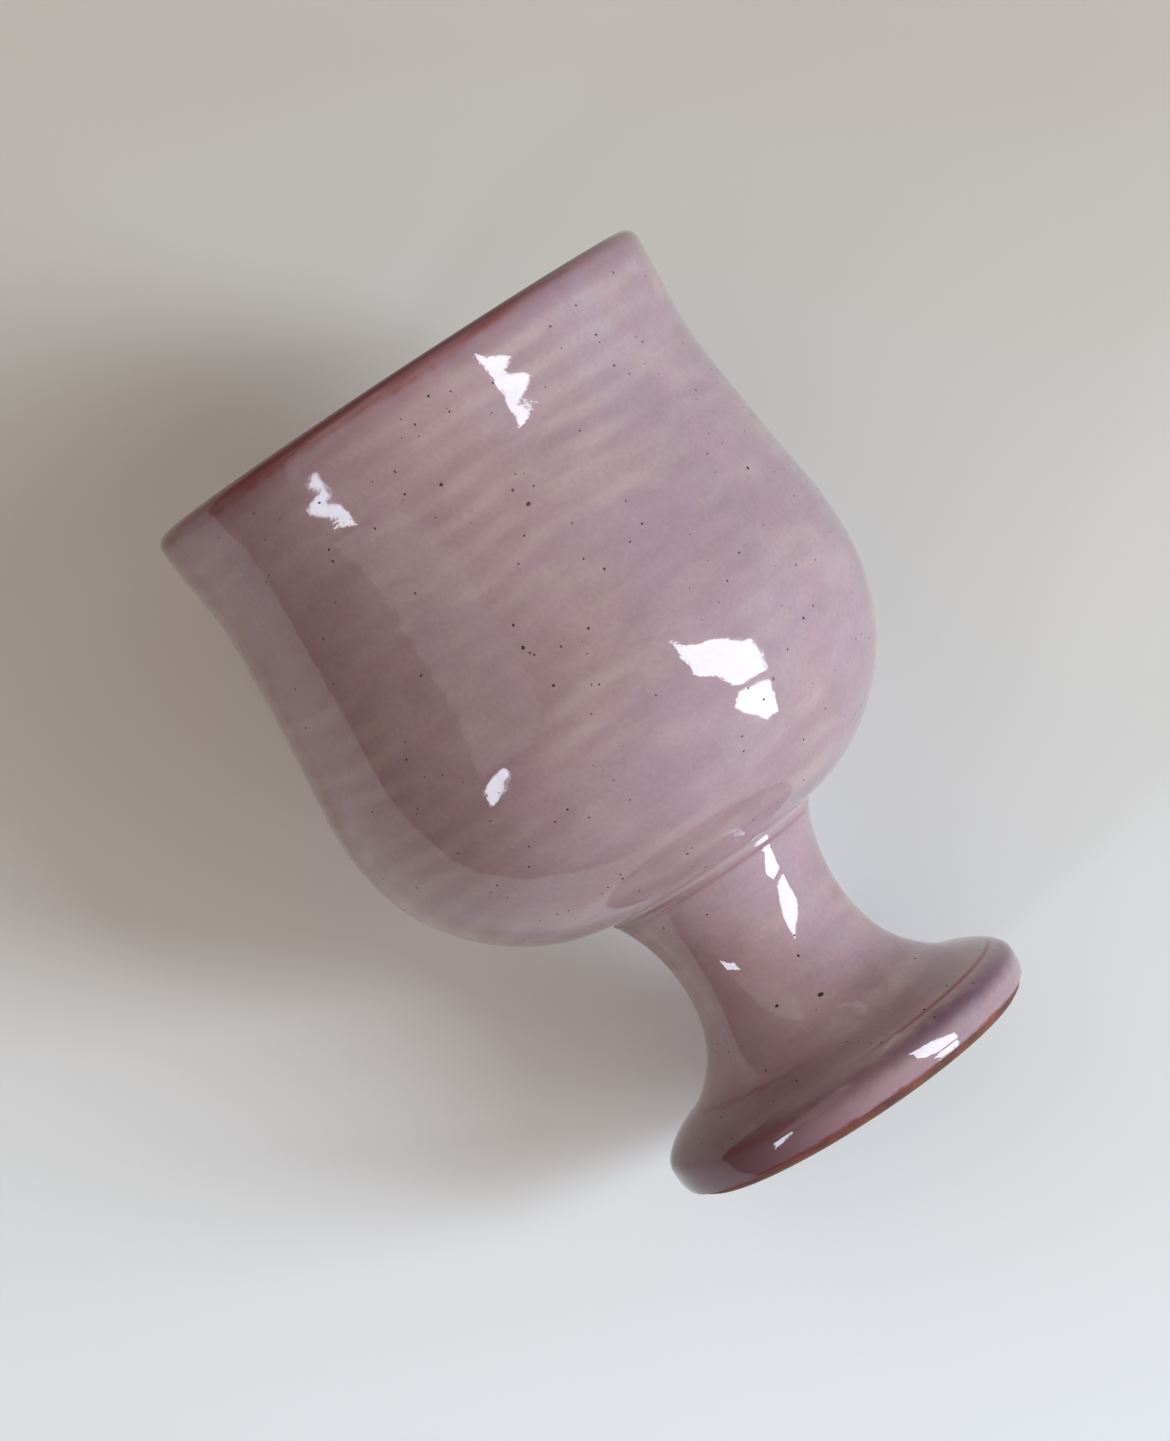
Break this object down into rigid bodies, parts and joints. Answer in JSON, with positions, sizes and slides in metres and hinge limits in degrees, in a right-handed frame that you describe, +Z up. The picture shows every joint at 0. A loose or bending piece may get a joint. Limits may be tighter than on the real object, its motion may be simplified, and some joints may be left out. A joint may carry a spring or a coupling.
{
  "type": "communion chalice",
  "caption": "Hand-thrown pottery goblet with a deep rounded bowl on a flared stem and disc foot, in glossy lilac glaze over red-brown clay",
  "frame": {"origin": "centre of the foot ring's underside, on the goblet's axis", "axes": "+Z up the goblet's axis from the foot to the rim; X and Y are any two square directions across it, because the piece is turned"},
  "size_m": [0.0945, 0.0945, 0.135],
  "materials": {
    "clay": "bare fired red-brown earthenware, slightly rough",
    "slip": "fired slip of the same clay",
    "glaze": "glossy lilac glaze, warmer in the throwing rings and red-brown where it thins at edges, with dark iron specks"
  },
  "bodies": {
    "root": {"bowl": "clay", "pedestal": "clay", "joint_slip": "slip", "collar_coil": "clay", "outer_glaze": "glaze", "liner_glaze": "glaze"}
  },
  "joints": []
}
